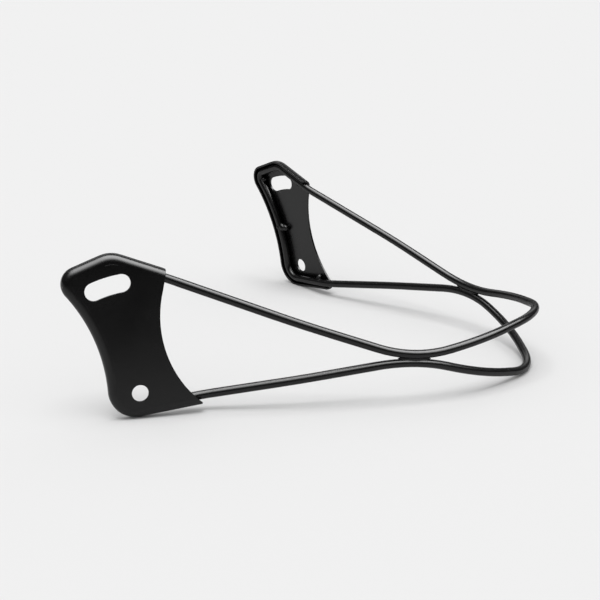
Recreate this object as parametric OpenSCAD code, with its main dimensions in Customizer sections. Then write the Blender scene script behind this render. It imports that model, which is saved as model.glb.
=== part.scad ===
// Rear rack: two flanged side plates joined by two bent wires.
//
// Frame: +X to the rear, +Y to the right, +Z up, as the rack stands on a level
// floor at z = 0. The origin is the middle of its footprint. The rack is symmetric
// about y = 0, and it is drawn square to the line between its pivot holes first,
// then tipped and moved on to the floor.

/* [Side plates] */

// thickness of the plate sheet
sheet = 1.5; // [1.2:0.1:1.8]
// depth of the turned-in flange, from the outer face to its free edge
flange_depth = 7.8; // [7:0.1:10]
// outer radius of the roll between the face and the flange
roll_radius = 5.4; // [4:0.1:5.5]
// distance between the two outer faces, measured at the pivot holes
plate_span = 348; // [330:1:360]
// angle by which each plate turns in towards the rear
toe_angle = 32.2; // [30:0.1:34]
// angle by which each plate leans in at the top
lean_angle = 7.4; // [5:0.1:9]
// radius of the hollow rear edge of the plate
rear_edge_r = 75; // [72:0.5:78]

/* [Standing] */

// angle by which the rack tips back to stand on its plates and lower loop
standing_tilt = 1.97; // [0:0.01:4]
// height of the pivot holes above the floor
pivot_height = 17.5; // [15:0.1:20]
// distance from the pivot holes back to the middle of the footprint
pivot_to_middle = 91.4; // [85:0.1:100]

/* [Mounting holes] */

// diameter of the pivot hole
pivot_bore = 11; // [9:0.1:12]
// width of the arc slot
slot_width = 12; // [10:0.1:13]
// radius from the pivot hole to the middle line of the slot
slot_radius = 73.7; // [72:0.1:75]
// angle of the slot's middle, forward of the plate's upright
slot_lean = 15.5; // [14:0.1:17]
// angle between the centres of the slot's two ends
slot_span = 14.4; // [10:0.1:15]

/* [Wires] */

// diameter of both wires
wire = 6; // [5:0.1:6.2]
// distance of the wire's middle from the outside of the flange
wire_inset = 5.6; // [5:0.1:6]
// distance from the pivot axis back to the upper loop's end vertex
upper_reach = 235.1; // [230:0.1:240]
// distance from the pivot axis back to the lower loop's end vertex
lower_reach = 230.3; // [226:0.1:236]
// height of the point where the wires meet, above the pivot holes
meeting_height = 18.4; // [15:0.1:22]
// bend radius at the rear end of both loops
tip_bend = 51; // [40:1:55]
// bend radius at the quarters of the loops
quarter_bend = 140; // [120:1:141]
// bend radius where the wires meet
meeting_bend = 93; // [85:1:94]
// bend radius of the bowed sides
side_bend = 381; // [300:1:500]

/* [Welds] */

// length of the weld where the two wires meet
cross_weld_length = 24; // [16:1:30]
// width of that weld across the wires
cross_weld_width = 5.2; // [4:0.1:5.6]
// width of the weld that joins the wires' ends and holds them to the plate
butt_weld_width = 7; // [6.8:0.1:7.4]
// width of the small tacks between wire and plate
tack_width = 4.4; // [3.6:0.1:5]

/* [Hidden] */

black = [0.09, 0.09, 0.095];
weld_black = [0.15, 0.15, 0.155];

function unit(a) = [cos(a), sin(a)];
function turn_of(v) = atan2(v.y, v.x);
function direction(v) = v / norm(v);

// ---- plate outline, in the plate's own plane ------------------------------
// u runs to the rear, v runs up, w runs inwards from the outer face. The pivot
// hole is the origin. The outline is a chain of lines and arcs, each tangent
// to the next.

corner_r = 11.5;
corner = [-37.4, 72.5];
apex_r = 19;
toe_r = 18;
toe = [-2.3, 1.2];
front_r = 113;
top_front_slope = 22;
top_rear_slope = 19.75;
bottom_slope = 8;
top_front_len = 19.6;
top_rear_len = 31.6;
bottom_len = 41.8;
flange_corner_r = 2.5;

// rear edge: the narrowest point of its hollow, and the start of its straight top
rear_waist = [14, 49];
rear_edge = rear_waist + [rear_edge_r, 0];
rear_top = [15.2, 62];
rear_top_lean = 10.9;
rear_top_waste = [40, 30];

// distance by which the cuts pass through the sheet, and out past its edges
through = 1;
clear = 3;

// centre of a circle of radius r that touches two other circles from outside
function beside(c1, r1, c2, r2, r) =
    let (
        a = r + r1,
        b = r + r2,
        d = norm(c2 - c1),
        along = (a * a - b * b + d * d) / (2 * d),
        across = sqrt(a * a - along * along),
        e = (c2 - c1) / d
    )
    c1 + along * e + across * [e.y, -e.x];

front = beside(corner, corner_r, toe, toe_r, front_r);
front_high = turn_of(corner - front);
front_low = turn_of(toe - front);

// outward directions of the three straight edges
top_front_out = 90 + top_front_slope;
top_rear_out = 90 - top_rear_slope;
bottom_out = bottom_slope - 90;

apex = corner
    + (corner_r - apex_r) * unit(top_front_out)
    + top_front_len * unit(top_front_slope);
top_front_start = apex + apex_r * unit(top_front_out);
top_rear_start = apex
    + apex_r * unit(top_rear_out)
    + top_rear_len * unit(-top_rear_slope);
bottom_start = toe + toe_r * unit(bottom_out);

// rear ends of the flange: the bottom one is cut square, and the top one
// follows the straight top of the rear edge
top_rear_trim = 1.05;
bottom_end = bottom_start + bottom_len * unit(bottom_slope);
top_rear_end = top_rear_start - top_rear_trim * unit(-top_rear_slope);

// ---- placing points of the right-hand plate -------------------------------
// These are in the rack's drawing frame, whose origin is midway between the two
// pivot holes.

u_axis = [cos(toe_angle), -sin(toe_angle), 0];
v_axis = [
    -sin(toe_angle) * sin(lean_angle),
    -cos(toe_angle) * sin(lean_angle),
    cos(lean_angle)
];
w_axis = cross(u_axis, v_axis);

function on_plate(p, w) =
    [0, plate_span / 2, 0] + p.x * u_axis + p.y * v_axis + w * w_axis;

// ---- wire paths, right-hand half: a list of [vertex, bend radius] ---------

upper_depth = sheet + wire / 2;
lower_exit_depth = 8;

// the wires' ends, as directions from the centre of the plate's front edge
joint_angle_up = 19.4;
joint_angle_low = 19;
front_wire_r = front_r + wire_inset;
corner_wire_r = corner_r - wire_inset;
apex_wire_r = apex_r - wire_inset;
toe_wire_r = toe_r - wire_inset;

// bend where each wire leaves the plate, and how far past the flange the upper
// one starts
exit_bend = 60;
upper_lead = 3;

// corner where the tangents at the two ends of an arc meet
function arc_vertex(c, r, a, b) = c + r / cos((b - a) / 2) * unit((a + b) / 2);

upper_exit = top_rear_start
    + upper_lead * unit(-top_rear_slope)
    - wire_inset * unit(top_rear_out);
lower_exit = bottom_start
    + bottom_len * unit(bottom_slope)
    - wire_inset * unit(bottom_out);

// the wires' shared line in plan: bowed side, meeting point, quarter of the loop
bow = [93.8, 122.8];
meet = [162.9, 91.1];
quarter = [202.6, 56.5];

// heights of the two wires' vertices, from the height where they meet. The
// meeting vertices pass each other a little, so that the bends just touch.
meeting_pass = 0.2;
upper_bow = 24.6;
upper_quarter = 9.1;
upper_tip = 18.7;
lower_bow = -12.9;
lower_quarter = -15.8;
lower_tip = -28;

function at_height(p, h) = [p.x, p.y, meeting_height + h];

upper_path = [
    [on_plate(front + front_wire_r * unit(joint_angle_up), upper_depth), 0],
    [on_plate(arc_vertex(front, front_wire_r, joint_angle_up, front_high), upper_depth),
        front_wire_r],
    [on_plate(arc_vertex(corner, corner_wire_r, top_front_out, front_high + 180),
        upper_depth), corner_wire_r],
    [on_plate(arc_vertex(apex, apex_wire_r, top_rear_out, top_front_out), upper_depth),
        apex_wire_r],
    [on_plate(upper_exit, upper_depth), exit_bend],
    [at_height(bow, upper_bow), side_bend],
    [at_height(meet, -meeting_pass), meeting_bend],
    [at_height(quarter, upper_quarter), quarter_bend],
    [at_height([upper_reach, 0], upper_tip), tip_bend]
];

lower_path = [
    [on_plate(front + front_wire_r * unit(joint_angle_low), upper_depth), 0],
    [on_plate(arc_vertex(front, front_wire_r, front_low, joint_angle_low), upper_depth),
        front_wire_r],
    [on_plate(arc_vertex(toe, toe_wire_r, front_low + 180, bottom_out + 360), upper_depth),
        toe_wire_r],
    [on_plate(lower_exit, lower_exit_depth), exit_bend],
    [at_height(bow, lower_bow), side_bend],
    [at_height(meet, meeting_pass), meeting_bend],
    [at_height(quarter, lower_quarter), quarter_bend],
    [at_height([lower_reach, 0], lower_tip), tip_bend]
];

function mirrored(p) = [p.x, -p.y, p.z];

// whole wire: the right half followed by its mirror image, tip used once
function whole(half) = concat(
    half,
    [for (i = [len(half) - 2:-1:0]) [mirrored(half[i][0]), half[i][1]]]
);

// ---- wire building ---------------------------------------------------------

// angle turned at vertex i and the length the bend takes from each side
function turn_at(path, i) =
    let (
        a = direction(path[i][0] - path[i - 1][0]),
        b = direction(path[i + 1][0] - path[i][0])
    )
    atan2(norm(cross(a, b)), a * b);
function bend_cut(path, i) =
    i == 0 || i == len(path) - 1
        ? 0
        : path[i][1] * tan(turn_at(path, i) / 2);

// draws its children's z axis from one point to another
module along(from, to) {
    d = to - from;
    translate(from)
        rotate([0, atan2(norm([d.x, d.y]), d.z), atan2(d.y, d.x)])
            children();
}

// Straights run a little way into the bends, and the bends are drawn a hair
// slimmer, so that every straight ends in a clean ring round its bend.
lap = 0.1;
hair = 0.04;

// a bend is drawn in steps of about this many degrees, and in at least a few
step_angle = 9;
least_steps = 4;

module wire_straight(from, to) {
    along(from, to)
        cylinder(d = wire, h = norm(to - from), $fn = 24);
}

// bend at vertex i: part of a ring that starts at the incoming tangent point
module wire_bend(path, i) {
    p = path[i][0];
    r = path[i][1];
    a = direction(p - path[i - 1][0]);
    b = direction(path[i + 1][0] - p);
    angle = turn_at(path, i);
    axis = direction(cross(a, b));
    out = cross(a, axis);
    centre = p - bend_cut(path, i) * a - r * out;
    multmatrix([
        [out.x, a.x, axis.x, centre.x],
        [out.y, a.y, axis.y, centre.y],
        [out.z, a.z, axis.z, centre.z],
        [0, 0, 0, 1]
    ])
        rotate_extrude(
            angle = angle,
            $fn = ceil(360 / angle * max(least_steps, angle / step_angle))
        )
            translate([r, 0])
                circle(d = wire - 2 * hair, $fn = 24);
}

module bent_wire(path) {
    last = len(path) - 1;
    for (i = [0:last - 1]) {
        a = direction(path[i + 1][0] - path[i][0]);
        before = i == 0 ? 0 : bend_cut(path, i) - lap;
        after = i + 1 == last ? 0 : bend_cut(path, i + 1) - lap;
        wire_straight(path[i][0] + before * a, path[i + 1][0] - after * a);
    }
    for (i = [1:last - 1])
        wire_bend(path, i);
}

// ---- plate building --------------------------------------------------------

// cross-section across the edge: x runs inwards from the outside of the
// flange, y runs in depth from the outer face
flat_strip = 2.5;
flat_width = roll_radius + flat_strip;

module roll_section(thin) {
    thickness = sheet - 2 * thin;
    translate([roll_radius, thin])
        square([flat_width - roll_radius, thickness]);
    translate([thin, roll_radius])
        square([thickness, flange_depth - roll_radius - thin]);
    translate([roll_radius, roll_radius])
        intersection() {
            difference() {
                circle(r = roll_radius - thin, $fn = 48);
                circle(r = roll_radius - sheet + thin, $fn = 48);
            }
            translate([-2 * roll_radius, -2 * roll_radius])
                square(2 * roll_radius);
        }
}

// straight edge: starts at a point and runs with the plate on its left. Like the
// wires' straights, it laps a little over the corners at its ends.
module straight_edge(start, heading, length) {
    translate(start)
        rotate([0, 0, heading])
            translate([-lap, 0, 0])
                rotate([90, 0, 90])
                    linear_extrude(length + 2 * lap)
                        roll_section(0);
}

// corner that bulges out of the plate, from angle a to angle b
module outer_corner(centre, r, a, b) {
    translate(centre)
        rotate([0, 0, a])
            rotate_extrude(angle = b - a, $fn = 96)
                translate([r, 0])
                    mirror([1, 0])
                        roll_section(hair);
}

// hollow edge, whose centre is outside the plate
module hollow_edge(centre, r, a, b) {
    translate(centre)
        rotate([0, 0, a])
            rotate_extrude(angle = b - a, $fn = 120)
                translate([r, 0])
                    roll_section(hair);
}

// points along an arc, both ends included
arc_steps = 6;
function arc_points(c, r, a, b) =
    [for (i = [0:arc_steps]) c + r * unit(a + (b - a) * i / arc_steps)];

// face of the plate, reaching halfway over the flat strip of the edges
module face_outline() {
    inner = (roll_radius + flat_width) / 2;
    polygon(concat(
        [top_rear_start - inner * unit(top_rear_out)],
        arc_points(apex, apex_r - inner, top_rear_out, top_front_out),
        arc_points(corner, corner_r - inner, top_front_out, front_high + 180),
        arc_points(front, front_r + inner, front_high, front_low),
        arc_points(toe, toe_r - inner, front_low + 180, bottom_out + 360),
        [bottom_end - inner * unit(bottom_out)]
    ));
}

// everything behind the plate's hollow rear edge, which straightens near its top
module rear_cut() {
    translate([rear_edge.x, rear_edge.y, -through])
        cylinder(r = rear_edge_r, h = flange_depth + 2 * through, $fn = 180);
}

module rear_top_cut() {
    translate([rear_top.x, rear_top.y, -through])
        rotate([0, 0, -rear_top_lean])
            cube(concat(rear_top_waste, flange_depth + 2 * through));
}

// rounds the free corner of a flange that ends at a point and runs along a heading
module flange_corner_cut(end, heading) {
    side = flange_corner_r + clear;
    translate(end)
        rotate([0, 0, heading])
            translate([0, -side / 2, flange_depth])
                rotate([-90, 0, 0])
                    difference() {
                        translate([-flange_corner_r, flange_corner_r - side, 0])
                            cube(side);
                        translate([-flange_corner_r, flange_corner_r, -through])
                            cylinder(r = flange_corner_r, h = side + 2 * through, $fn = 48);
                    }
}

module slot_cut() {
    half = slot_span / 2;
    middle = 90 + slot_lean;
    translate([0, 0, -through])
        rotate([0, 0, middle - half])
            rotate_extrude(angle = slot_span, $fn = 240)
                translate([slot_radius - slot_width / 2, 0])
                    square([slot_width, sheet + 2 * through]);
    for (side = [-half, half])
        translate(concat(slot_radius * unit(middle + side), -through))
            cylinder(d = slot_width, h = sheet + 2 * through, $fn = 48);
}

// tips its children about the line between the pivot holes and moves them, so
// that the toes of the plates and the end of the lower loop stand on the floor
module standing() {
    translate([-pivot_to_middle, 0, pivot_height])
        rotate([0, standing_tilt, 0])
            children();
}

// right-hand plate, drawn flat
module flat_plate() {
    difference() {
        union() {
            linear_extrude(sheet)
                face_outline();
            straight_edge(top_rear_start, 180 - top_rear_slope, top_rear_len);
            outer_corner(apex, apex_r, top_rear_out, top_front_out);
            straight_edge(top_front_start, 180 + top_front_slope, top_front_len);
            outer_corner(corner, corner_r, top_front_out, front_high + 180);
            straight_edge(front + front_r * unit(front_high), front_high - 90, 0);
            hollow_edge(front, front_r, front_low, front_high);
            straight_edge(front + front_r * unit(front_low), front_low - 90, 0);
            outer_corner(toe, toe_r, front_low + 180, bottom_out + 360);
            straight_edge(bottom_start, bottom_slope, bottom_len);
        }
        rear_cut();
        rear_top_cut();
        flange_corner_cut(top_rear_end, -top_rear_slope);
        flange_corner_cut(bottom_end, bottom_slope);
        slot_cut();
        translate([0, 0, -through])
            cylinder(d = pivot_bore, h = sheet + 2 * through, $fn = 64);
    }
}

module right_plate() {
    color(black)
        standing()
            translate([0, plate_span / 2, 0])
                rotate([90 + lean_angle, 0, -toe_angle])
                    flat_plate();
}

module left_plate() {
    mirror([0, 1, 0])
        right_plate();
}

module upper_rod() {
    color(black)
        standing()
            bent_wire(whole(upper_path));
}

module lower_rod() {
    color(black)
        standing()
            bent_wire(whole(lower_path));
}

// ---- welds -----------------------------------------------------------------

// middle of the bend at vertex i, and the wire's heading there
function bend_middle(path, i) =
    let (
        a = direction(path[i][0] - path[i - 1][0]),
        b = direction(path[i + 1][0] - path[i][0]),
        r = path[i][1]
    )
    path[i][0] + (r / cos(turn_at(path, i) / 2) - r) * direction(b - a);
function bend_heading(path, i) =
    direction(direction(path[i][0] - path[i - 1][0]) + direction(path[i + 1][0] - path[i][0]));

// long rounded bead, thickest in the middle of the line between two points
module bead(from, to, width) {
    half = norm(to - from) / 2;
    steps = 18;
    along(from, to)
        rotate_extrude($fn = 32)
            polygon([
                for (i = [0:steps])
                    let (a = 180 * i / steps)
                    [width / 2 * sin(a), half * (1 - cos(a))]
            ]);
}

// fills the notches on both sides of the line where the wires touch
module right_cross_weld() {
    upper_i = len(upper_path) - 3;
    lower_i = len(lower_path) - 3;
    middle = (bend_middle(upper_path, upper_i) + bend_middle(lower_path, lower_i)) / 2;
    heading = direction(bend_heading(upper_path, upper_i) + bend_heading(lower_path, lower_i));
    color(weld_black)
        standing()
            bead(
                middle - cross_weld_length / 2 * heading,
                middle + cross_weld_length / 2 * heading,
                cross_weld_width
            );
}

module left_cross_weld() {
    mirror([0, 1, 0])
        right_cross_weld();
}

// Beads that run from the wire down to the face of the plate. Each is given by the
// wire's middle, the direction from there into the plate, and two points of
// [distance along that direction, depth from the outer face].
module plate_bead(middle, inward, from, to, width) {
    bead(
        on_plate(middle + from[0] * inward, from[1]),
        on_plate(middle + to[0] * inward, to[1]),
        width
    );
}

butt_weld_from = [-4, 5.2];
butt_weld_to = [9.5, 3];
tack_from = [1.2, 6.2];
tack_to = [5.2, 1.6];

// joins the ends of the two wires inside the plate, and holds them to it
module right_butt_weld() {
    joint = front + front_wire_r * unit((joint_angle_up + joint_angle_low) / 2);
    color(weld_black)
        standing()
            plate_bead(joint, [1, 0], butt_weld_from, butt_weld_to, butt_weld_width);
}

module left_butt_weld() {
    mirror([0, 1, 0])
        right_butt_weld();
}

// tacks on the inner side of the wire: at the top corner and on the bottom run
top_tack_angle = 208;
top_tack = corner + corner_wire_r * unit(top_tack_angle);
bottom_tack_reach = 27.8;
bottom_tack = bottom_start
    + bottom_tack_reach * unit(bottom_slope)
    - wire_inset * unit(bottom_out);

module right_tack_welds() {
    color(weld_black)
        standing() {
            plate_bead(top_tack, -unit(top_tack_angle), tack_from, tack_to, tack_width);
            plate_bead(bottom_tack, -unit(bottom_out), tack_from, tack_to, tack_width);
        }
}

module left_tack_welds() {
    mirror([0, 1, 0])
        right_tack_welds();
}

left_plate();
right_plate();
upper_rod();
lower_rod();
left_cross_weld();
right_cross_weld();
left_butt_weld();
right_butt_weld();
left_tack_welds();
right_tack_welds();
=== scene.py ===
import math

import bpy
import numpy as np
from mathutils import Matrix, Vector, noise


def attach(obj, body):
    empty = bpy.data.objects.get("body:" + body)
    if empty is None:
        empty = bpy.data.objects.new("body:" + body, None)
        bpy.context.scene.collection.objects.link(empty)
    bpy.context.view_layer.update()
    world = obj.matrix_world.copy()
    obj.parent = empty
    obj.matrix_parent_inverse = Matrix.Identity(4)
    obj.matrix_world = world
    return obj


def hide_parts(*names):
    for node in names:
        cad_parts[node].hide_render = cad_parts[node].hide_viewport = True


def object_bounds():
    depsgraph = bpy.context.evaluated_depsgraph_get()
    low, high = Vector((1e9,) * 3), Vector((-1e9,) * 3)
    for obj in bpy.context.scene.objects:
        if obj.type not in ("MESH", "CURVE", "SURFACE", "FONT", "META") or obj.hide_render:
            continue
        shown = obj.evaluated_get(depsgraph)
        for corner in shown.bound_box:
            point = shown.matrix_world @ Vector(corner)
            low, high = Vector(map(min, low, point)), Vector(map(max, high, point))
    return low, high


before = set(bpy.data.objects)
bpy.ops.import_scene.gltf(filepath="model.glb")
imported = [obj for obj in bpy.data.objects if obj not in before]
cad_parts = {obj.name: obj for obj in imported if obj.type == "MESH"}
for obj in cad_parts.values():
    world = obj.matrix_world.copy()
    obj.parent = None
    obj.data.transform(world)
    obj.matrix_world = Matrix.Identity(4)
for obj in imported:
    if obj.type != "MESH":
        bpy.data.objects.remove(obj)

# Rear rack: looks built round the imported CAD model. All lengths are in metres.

MM = 0.001
BODY = "root"

cad_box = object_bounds()
low, high = (Vector(corner) for corner in cad_box)
centre = (low + high) / 2

# the room's axes: FRONT points from the rack towards the camera
AZIMUTH = math.radians(17.776)
FRONT = Vector((math.sin(AZIMUTH), -math.cos(AZIMUTH), 0))
SIDE = Vector((math.cos(AZIMUTH), math.sin(AZIMUTH), 0))
UP = Vector((0, 0, 1))


# ---- shader nodes ----------------------------------------------------------------

class Nodes:
    """A thin hand for wiring shader nodes."""

    def __init__(self, tree):
        self.tree = tree
        tree.nodes.clear()

    def add(self, kind, inputs=None, **settings):
        node = self.tree.nodes.new(kind)
        for key, value in settings.items():
            setattr(node, key, value)
        for key, value in (inputs or {}).items():
            self.feed(value, node.inputs[key])
        return node

    def feed(self, value, socket):
        if isinstance(value, bpy.types.NodeSocket):
            self.tree.links.new(value, socket)
        else:
            socket.default_value = value

    def math(self, operation, *values):
        node = self.add("ShaderNodeMath", operation=operation)
        for i, value in enumerate(values):
            self.feed(value, node.inputs[i])
        return node.outputs[0]

    def product(self, *factors):
        result = factors[0]
        for factor in factors[1:]:
            result = self.math("MULTIPLY", result, factor)
        return result

    def dot(self, vector, axis):
        node = self.add("ShaderNodeVectorMath", {0: vector, 1: axis}, operation="DOT_PRODUCT")
        return node.outputs["Value"]

    def noise(self, vector, scale, detail=2.0, roughness=0.5):
        node = self.add(
            "ShaderNodeTexNoise",
            {"Vector": vector, "Scale": scale, "Detail": detail, "Roughness": roughness},
        )
        return node.outputs["Fac"]

    def spread(self, value, low, high, out_low=0.0, out_high=1.0):
        """out_low up to low, out_high from high on, and a smooth step between them."""
        node = self.add(
            "ShaderNodeMapRange",
            {0: value, 1: low, 2: high, 3: out_low, 4: out_high},
            interpolation_type="SMOOTHSTEP",
        )
        return node.outputs[0]

    def grey(self, tone, red=1.0, blue=1.0):
        """A colour of one tone, with its red and blue parts scaled."""
        parts = {
            0: tone if red == 1.0 else self.math("MULTIPLY", tone, red),
            1: tone,
            2: tone if blue == 1.0 else self.math("MULTIPLY", tone, blue),
        }
        return self.add("ShaderNodeCombineColor", parts).outputs[0]

    def light(self, strength):
        node = self.add("ShaderNodeBackground", {"Color": (1, 1, 1, 1), "Strength": strength})
        return node.outputs[0]


# ---- coat ------------------------------------------------------------------------

# noise scales, per metre, with their detail
PEEL_GRAIN = (1500.0, 3.0, 0.55)
RIPPLE_GRAIN = (300.0, 2.0)
CHIP_GRAIN = (420.0, 4.0, 0.6)
PATCH_GRAIN = (28.0, 3.0)
FINE_GRAIN = (700.0, 2.0)

# heights of the relief
EDGE_ROUND = 0.4 * MM
EDGE_SAMPLES = 6
PEEL = 0.012 * MM
SHEET_LUMPS = 0.012 * MM
WELD_LUMPS = 0.06 * MM

# wear begins where the rounded normal leaves the flat one, as cosines
EDGE_TURN = (0.97, 0.80)
CHIPS_FROM_TO = (0.42, 0.62)

# specks of dust: how many cells to a metre, their size in cells, and the share left out
DUST_CELLS = 90.0
DUST_SIZE = (0.040, 0.022)
DUST_SKIPPED = 0.55

PATCHES_FROM_TO = (0.3, 0.7)
FINE_FROM_TO = (0.35, 0.65)
TONE = (0.0013, 0.0025)
FINE_TONE = 0.0008
WORN_TONE = 0.020
DUST_TONE = 0.11
TINT = (1.03, 1.05)
ROUGHNESS = (0.22, 0.28)
WORN_ROUGHNESS = -0.06
DUST_ROUGHNESS = 0.4
COAT_IOR = 1.5


def powder_coat(name, lumps):
    """Black satin powder coat: orange peel, patchy sheen, thin worn edges and dust.
    lumps is the height of the unevenness of the metal below the coat."""
    mat = bpy.data.materials.new(name)
    mat.use_nodes = True
    n = Nodes(mat.node_tree)
    place = n.add("ShaderNodeTexCoord").outputs["Object"]

    # surface relief
    edge_normal = n.add(
        "ShaderNodeBevel", {"Radius": EDGE_ROUND}, samples=EDGE_SAMPLES
    ).outputs[0]
    peel = n.product(n.noise(place, *PEEL_GRAIN), PEEL)
    ripple = n.product(n.noise(place, *RIPPLE_GRAIN), lumps)
    relief = n.math("ADD", peel, ripple)
    bump = n.add("ShaderNodeBump", {"Height": relief, "Distance": 1.0, "Normal": edge_normal})

    # edges, where the coat is thin and rubbed
    flat = n.add("ShaderNodeNewGeometry").outputs["Normal"]
    edge = n.spread(n.dot(edge_normal, flat), *EDGE_TURN)
    chips = n.spread(n.noise(place, *CHIP_GRAIN), *CHIPS_FROM_TO)
    wear = n.product(edge, chips)

    # specks of dust
    cells = n.add("ShaderNodeTexVoronoi", {"Vector": place, "Scale": DUST_CELLS})
    speck = n.spread(cells.outputs["Distance"], *DUST_SIZE)
    picked = n.add("ShaderNodeSeparateColor", {0: cells.outputs["Color"]}).outputs[0]
    dust = n.product(speck, n.math("GREATER_THAN", picked, DUST_SKIPPED))

    # colour and sheen
    patch = n.noise(place, *PATCH_GRAIN)
    fine = n.spread(n.noise(place, *FINE_GRAIN), *FINE_FROM_TO)
    tone = n.spread(patch, *PATCHES_FROM_TO, *TONE)
    for amount, change in ((fine, FINE_TONE), (wear, WORN_TONE), (dust, DUST_TONE)):
        tone = n.math("MULTIPLY_ADD", amount, change, tone)
    rough = n.spread(patch, *PATCHES_FROM_TO, *ROUGHNESS)
    for amount, change in ((wear, WORN_ROUGHNESS), (dust, DUST_ROUGHNESS)):
        rough = n.math("MULTIPLY_ADD", amount, change, rough)
    shader = n.add("ShaderNodeBsdfPrincipled", {
        "Base Color": n.grey(tone, *TINT),
        "Roughness": rough,
        "Normal": bump.outputs[0],
        "IOR": COAT_IOR,
    })
    n.add("ShaderNodeOutputMaterial", {"Surface": shader.outputs[0]})
    return mat


coat = powder_coat("powder_coat_look", SHEET_LUMPS)
weld_coat = powder_coat("weld_look", WELD_LUMPS)

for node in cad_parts.values():
    node.data.materials.clear()
    node.data.materials.append(coat)


# ---- welds -----------------------------------------------------------------------

BEAD_RINGS = 120
BEAD_SIDES = 48
BEAD_TIP = 0.004
BEAD_GAP = 10 * MM

# pitch of the ripples, their depth as a share of the radius, taper of the ends
CROSS_LOOK = (2.3 * MM, 0.10, 1.9)
BUTT_LOOK = (5.0 * MM, 0.24, 0.8)
TACK_LOOK = (1.5 * MM, 0.05, 1.15)

# share of the radius by which each ripple bows, and how sharp its crest is
RIPPLE_BOW = 0.25
RIPPLE_SHARPNESS = 0.6

# radius of the crests, and unevenness: scale per millimetre and depth
CREST = 1.015
UNEVEN_SCALE = 0.33
UNEVEN_DEPTH = 0.07
FINE_SCALE = 1.3
FINE_DEPTH = 0.02

# each bead has its own seed
CROSS_SEED = 3.1
BUTT_SEED = 5.7
TACK_SEED = 8.2
SIDE_SEED = 11
SOLID_SEED = 7.3


def solids_of(node, gap):
    """The node's vertices, split where they lie more than gap apart along the node's
    longest side."""
    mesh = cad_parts[node].data
    points = np.array([v.co for v in mesh.vertices])
    along = points[:, np.argmax(np.ptp(points, axis=0))]
    order = np.argsort(along, kind="stable")
    breaks = np.nonzero(np.diff(along[order]) > gap)[0] + 1
    return [points[part] for part in np.split(order, breaks)]


def bead_frame(points):
    """Middle, long axis, half length and greatest radius of a bead's vertices. The
    axis points to the front of the rack."""
    points = np.unique(np.round(points, 7), axis=0)
    mean = points.mean(axis=0)
    axis = np.linalg.svd(points - mean, full_matrices=False)[2][0]
    along = points @ axis
    middle = mean + axis * ((along.max() + along.min()) / 2 - mean @ axis)
    half = np.ptp(along) / 2
    away = points - middle
    away -= np.outer(away @ axis, axis)
    radius = float(np.linalg.norm(away, axis=1).max())
    axis = Vector(axis)
    return Vector(middle), -axis if axis.x > 0 else axis, half, radius


def bead_mesh(solid, look, seed, vertices, faces):
    """A laid weld bead: scale-like ripples across it and an uneven outline."""
    middle, axis, half, radius = bead_frame(solid)
    pitch, depth, taper = look
    side = axis.orthogonal().normalized()
    other = axis.cross(side)
    first = len(vertices)
    for i in range(BEAD_RINGS + 1):
        turn = math.pi * min(max(i / BEAD_RINGS, BEAD_TIP), 1 - BEAD_TIP)
        along = -half * math.cos(turn)
        width = radius * math.sin(turn) ** taper
        for j in range(BEAD_SIDES):
            phi = 2 * math.pi * j / BEAD_SIDES
            out = side * math.cos(phi) + other * math.sin(phi)
            bend = along + RIPPLE_BOW * radius * math.cos(phi)
            scale = abs(math.cos(math.pi * bend / pitch)) ** RIPPLE_SHARPNESS
            spot = (middle + axis * along + out * width) / MM
            uneven = noise.noise(spot * UNEVEN_SCALE + Vector((seed, 0, 0)))
            fine = noise.noise(spot * FINE_SCALE + Vector((0, seed, 0)))
            grow = CREST - depth + depth * scale + UNEVEN_DEPTH * uneven + FINE_DEPTH * fine
            vertices.append(middle + axis * along + out * (width * grow))
    for i in range(BEAD_RINGS):
        for j in range(BEAD_SIDES):
            k = (j + 1) % BEAD_SIDES
            row = first + i * BEAD_SIDES
            above = row + BEAD_SIDES
            faces.append((row + j, row + k, above + k, above + j))
    last = first + BEAD_RINGS * BEAD_SIDES
    faces.append(tuple(first + j for j in reversed(range(BEAD_SIDES))))
    faces.append(tuple(last + j for j in range(BEAD_SIDES)))


def lay_weld(node, look, seed):
    """Rippled beads in place of the plain ones of a weld node."""
    vertices, faces = [], []
    for number, solid in enumerate(solids_of(node, BEAD_GAP)):
        bead_mesh(solid, look, seed + SOLID_SEED * number, vertices, faces)
    mesh = bpy.data.meshes.new(node + "_bead")
    mesh.from_pydata(vertices, [], faces)
    mesh.polygons.foreach_set("use_smooth", [True] * len(mesh.polygons))
    mesh.materials.append(weld_coat)
    piece = bpy.data.objects.new(node + "_bead", mesh)
    bpy.context.scene.collection.objects.link(piece)
    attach(piece, BODY)
    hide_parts(node)


for number, side_name in enumerate(("left", "right")):
    lay_weld(side_name + "_cross_weld", CROSS_LOOK, CROSS_SEED + SIDE_SEED * number)
    lay_weld(side_name + "_butt_weld", BUTT_LOOK, BUTT_SEED + SIDE_SEED * number)
    lay_weld(side_name + "_tack_welds", TACK_LOOK, TACK_SEED + SIDE_SEED * number)


# ---- floor -----------------------------------------------------------------------

FLOOR_HALF = 12.0
FLOOR_TONE = 0.8

# painted reflection: tones of the floor as reflections see it, as shares of its own, and the
# reach of the painted fade to dark
MIRRORED_NEAR = 0.66
MIRRORED_FAR = 0.045
MIRRORED_FADE = (0.22, 0.85)


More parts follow.
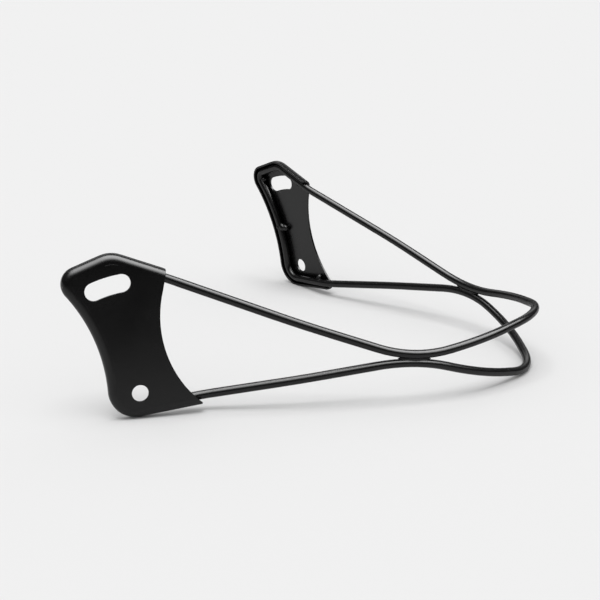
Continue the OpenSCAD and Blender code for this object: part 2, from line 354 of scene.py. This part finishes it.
def make_floor():
    """A pale floor. As a painted reflection, it fades to dark in reflections towards the
    camera's side of the room, standing in for the dark room past the floor.
    """
    mesh = bpy.data.meshes.new("floor")
    s = FLOOR_HALF
    mesh.from_pydata([(-s, -s, 0), (s, -s, 0), (s, s, 0), (-s, s, 0)], [], [(0, 1, 2, 3)])
    floor = bpy.data.objects.new("floor", mesh)
    bpy.context.scene.collection.objects.link(floor)
    mat = bpy.data.materials.new("floor_look")
    mat.use_nodes = True
    n = Nodes(mat.node_tree)
    reach = n.dot(n.add("ShaderNodeTexCoord").outputs["Object"], FRONT)
    painted_reflection_tone = n.spread(
        reach, *MIRRORED_FADE, FLOOR_TONE * MIRRORED_NEAR, FLOOR_TONE * MIRRORED_FAR
    )
    # painted reflection: glossy rays see the painted dark fade, all other rays see the
    # floor's own tone
    mirrored = n.add("ShaderNodeLightPath").outputs["Is Glossy Ray"]
    tone = n.add("ShaderNodeMix", {0: mirrored, 2: FLOOR_TONE, 3: painted_reflection_tone}, data_type="FLOAT")
    shader = n.add("ShaderNodeBsdfDiffuse", {"Color": n.grey(tone.outputs[0])})
    n.add("ShaderNodeOutputMaterial", {"Surface": shader.outputs[0]})
    mesh.materials.append(mat)


make_floor()


# ---- light -----------------------------------------------------------------------

scene = bpy.context.scene
scene.view_settings.view_transform = "Standard"

SUN_POWER = 1.5
SUN_WIDTH = math.radians(40.0)
SUN_TILT = (math.radians(6.0), 0.0, 0.0)

# light on matt surfaces, and the wall behind the floor as the camera sees it
SKY = 0.624
BACKDROP = 0.87

# The softbox lies overhead, tilted to the camera's side. Its extents are slopes off
# its own axis: where it starts, the blur of that edge, where it ends and the blur.
SOFTBOX_GLOW = 9.6
SOFTBOX_TILT = math.radians(13.0)
SOFTBOX_SIDES = (-0.5, 0.45, 1.25, 0.5)
SOFTBOX_DEPTHS = (-0.66, 0.1, 0.38, 0.55)
LEAST_RISE = 0.001

# the dark wall all round, from the horizon up to WALL_TOP
WALL_LOW = 0.03
WALL_HIGH = 0.16
WALL_TOP = 0.6

# a bright strip on the wall behind the rack: heights of its edges, and how far it
# reaches backwards and sideways, as cosines
STRIP_GLOW = 0.9
STRIP_RISE = (0.26, 0.38)
STRIP_FALL = (0.52, 0.64)
STRIP_BACK = (-0.2, -0.5)
STRIP_SIDES = (0.3, 0.55)


def make_sun():
    lamp = bpy.data.lights.new("overhead_softbox", "SUN")
    lamp.energy = SUN_POWER
    lamp.angle = SUN_WIDTH
    sun = bpy.data.objects.new("overhead_softbox", lamp)
    sun.rotation_euler = SUN_TILT
    sun.visible_glossy = False
    scene.collection.objects.link(sun)


def softbox(n, way):
    """Glow of the softbox in the direction way."""
    lean, lift = math.sin(SOFTBOX_TILT), math.cos(SOFTBOX_TILT)
    box_up = FRONT * lean + UP * lift
    box_front = FRONT * lift - UP * lean
    rise = n.math("MAXIMUM", n.dot(way, box_up), LEAST_RISE)
    glow = SOFTBOX_GLOW
    for axis, extents in ((SIDE, SOFTBOX_SIDES), (box_front, SOFTBOX_DEPTHS)):
        offset = n.math("DIVIDE", n.dot(way, axis), rise)
        start, start_blur, end, end_blur = extents
        inside = n.spread(offset, start - start_blur, start + start_blur)
        not_past = n.spread(offset, end - end_blur, end + end_blur, 1.0, 0.0)
        glow = n.product(glow, inside, not_past)
    return glow


def strip(n, way, height):
    """Glow of the strip behind the rack in the direction way."""
    behind = n.spread(n.dot(way, FRONT), *STRIP_BACK)
    above = n.spread(height, *STRIP_RISE)
    below = n.spread(height, *STRIP_FALL, 1.0, 0.0)
    aside = n.math("ABSOLUTE", n.dot(way, SIDE))
    within = n.spread(aside, *STRIP_SIDES, STRIP_GLOW, 0.0)
    return n.product(n.product(behind, above), n.product(below, within))


def make_world():
    """Even light for matt surfaces. Reflections see a long overhead softbox in a
    dark room with a bright strip behind the rack. The camera sees a plain backdrop."""
    world = bpy.data.worlds.new("studio")
    world.use_nodes = True
    scene.world = world
    n = Nodes(world.node_tree)
    path = n.add("ShaderNodeLightPath")
    way = n.add("ShaderNodeTexCoord").outputs["Generated"]
    height = n.dot(way, UP)
    wall = n.spread(height, 0.0, WALL_TOP, WALL_LOW, WALL_HIGH)
    glow = n.math("ADD", n.math("ADD", softbox(n, way), wall), strip(n, way, height))
    view = n.light(SKY)
    for ray, seen in (("Is Glossy Ray", glow), ("Is Camera Ray", BACKDROP)):
        mix = n.add("ShaderNodeMixShader", {0: path.outputs[ray], 1: view, 2: n.light(seen)})
        view = mix.outputs[0]
    n.add("ShaderNodeOutputWorld", {"Surface": view})


make_sun()
make_world()


# ---- camera ----------------------------------------------------------------------

ELEVATION = math.radians(15.945)
ROLL = math.radians(0.226)
DISTANCE = 1071.09 * MM
AIM = centre + Vector((-33.32, -14.39, -12.40)) * MM
LENS_MM = 87.44
SENSOR_MM = 36.0


def make_camera():
    """Camera at AZIMUTH and ELEVATION round AIM, turned by ROLL about its line of sight."""
    back = FRONT * math.cos(ELEVATION) + UP * math.sin(ELEVATION)
    level = UP.cross(back).normalized()
    upright = back.cross(level)
    right = level * math.cos(ROLL) - upright * math.sin(ROLL)
    up = upright * math.cos(ROLL) + level * math.sin(ROLL)
    lens = bpy.data.cameras.new("camera")
    lens.lens = LENS_MM
    lens.sensor_width = SENSOR_MM
    camera = bpy.data.objects.new("camera", lens)
    turn = Matrix((right, up, back)).transposed().to_4x4()
    camera.matrix_world = Matrix.Translation(AIM + back * DISTANCE) @ turn
    scene.collection.objects.link(camera)
    scene.camera = camera


make_camera()
